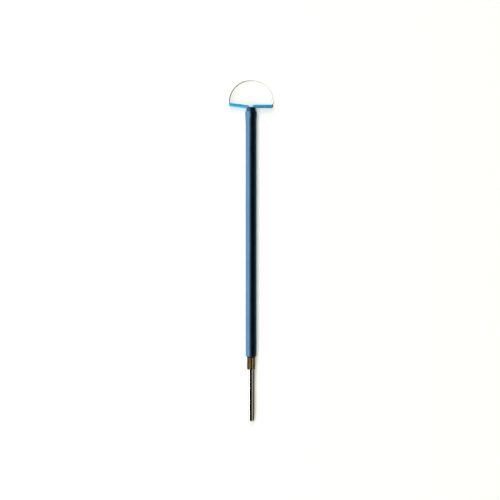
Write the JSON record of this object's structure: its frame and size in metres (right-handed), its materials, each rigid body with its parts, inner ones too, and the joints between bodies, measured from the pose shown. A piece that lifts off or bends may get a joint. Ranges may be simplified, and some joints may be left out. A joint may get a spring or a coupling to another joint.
{
  "type": "electrosurgical loop electrode",
  "caption": "Single-use electrode: bare wire loop on two insulated arms, long blue insulated shaft, brass ferrule and bare steel contact rod for an electrosurgical pencil.",
  "frame": {"origin": "centre of the contact rod's flat rear end face", "axes": "+Y along the shaft from the contact rod towards the loop, +Z square to the plane of the loop (up as it lies on a table), +X across the loop"},
  "size_m": [0.0202, 0.1544, 0.0054],
  "materials": {
    "polished_steel": "centreless ground and polished stainless steel",
    "arm_steel": "drawn stainless wire",
    "ferrule_brass": "turned brass, lightly tarnished",
    "adhesive": "dark potting adhesive",
    "tube_blue": "satin extruded polyolefin",
    "liner": "natural polymer liner",
    "braze": "silver braze",
    "seal_navy": "glossy dark blue potting resin",
    "sleeve_cyan": "semi-gloss cyan polymer sleeve",
    "weld": "dark oxidised weld",
    "tungsten": "drawn tungsten wire"
  },
  "bodies": {
    "root": {"contact_rod": "polished_steel", "rear_ferrule": "ferrule_brass", "rear_seal_ring": "adhesive", "insulation_tube": "tube_blue", "inner_liner": "liner", "front_ferrule": "ferrule_brass", "braze_fill": "braze", "neck_plug": "seal_navy", "left_arm_wire": "arm_steel", "left_arm_sleeve": "sleeve_cyan", "left_weld_bead": "weld", "right_arm_wire": "arm_steel", "right_arm_sleeve": "sleeve_cyan", "right_weld_bead": "weld", "loop_wire": "tungsten"}
  },
  "joints": []
}
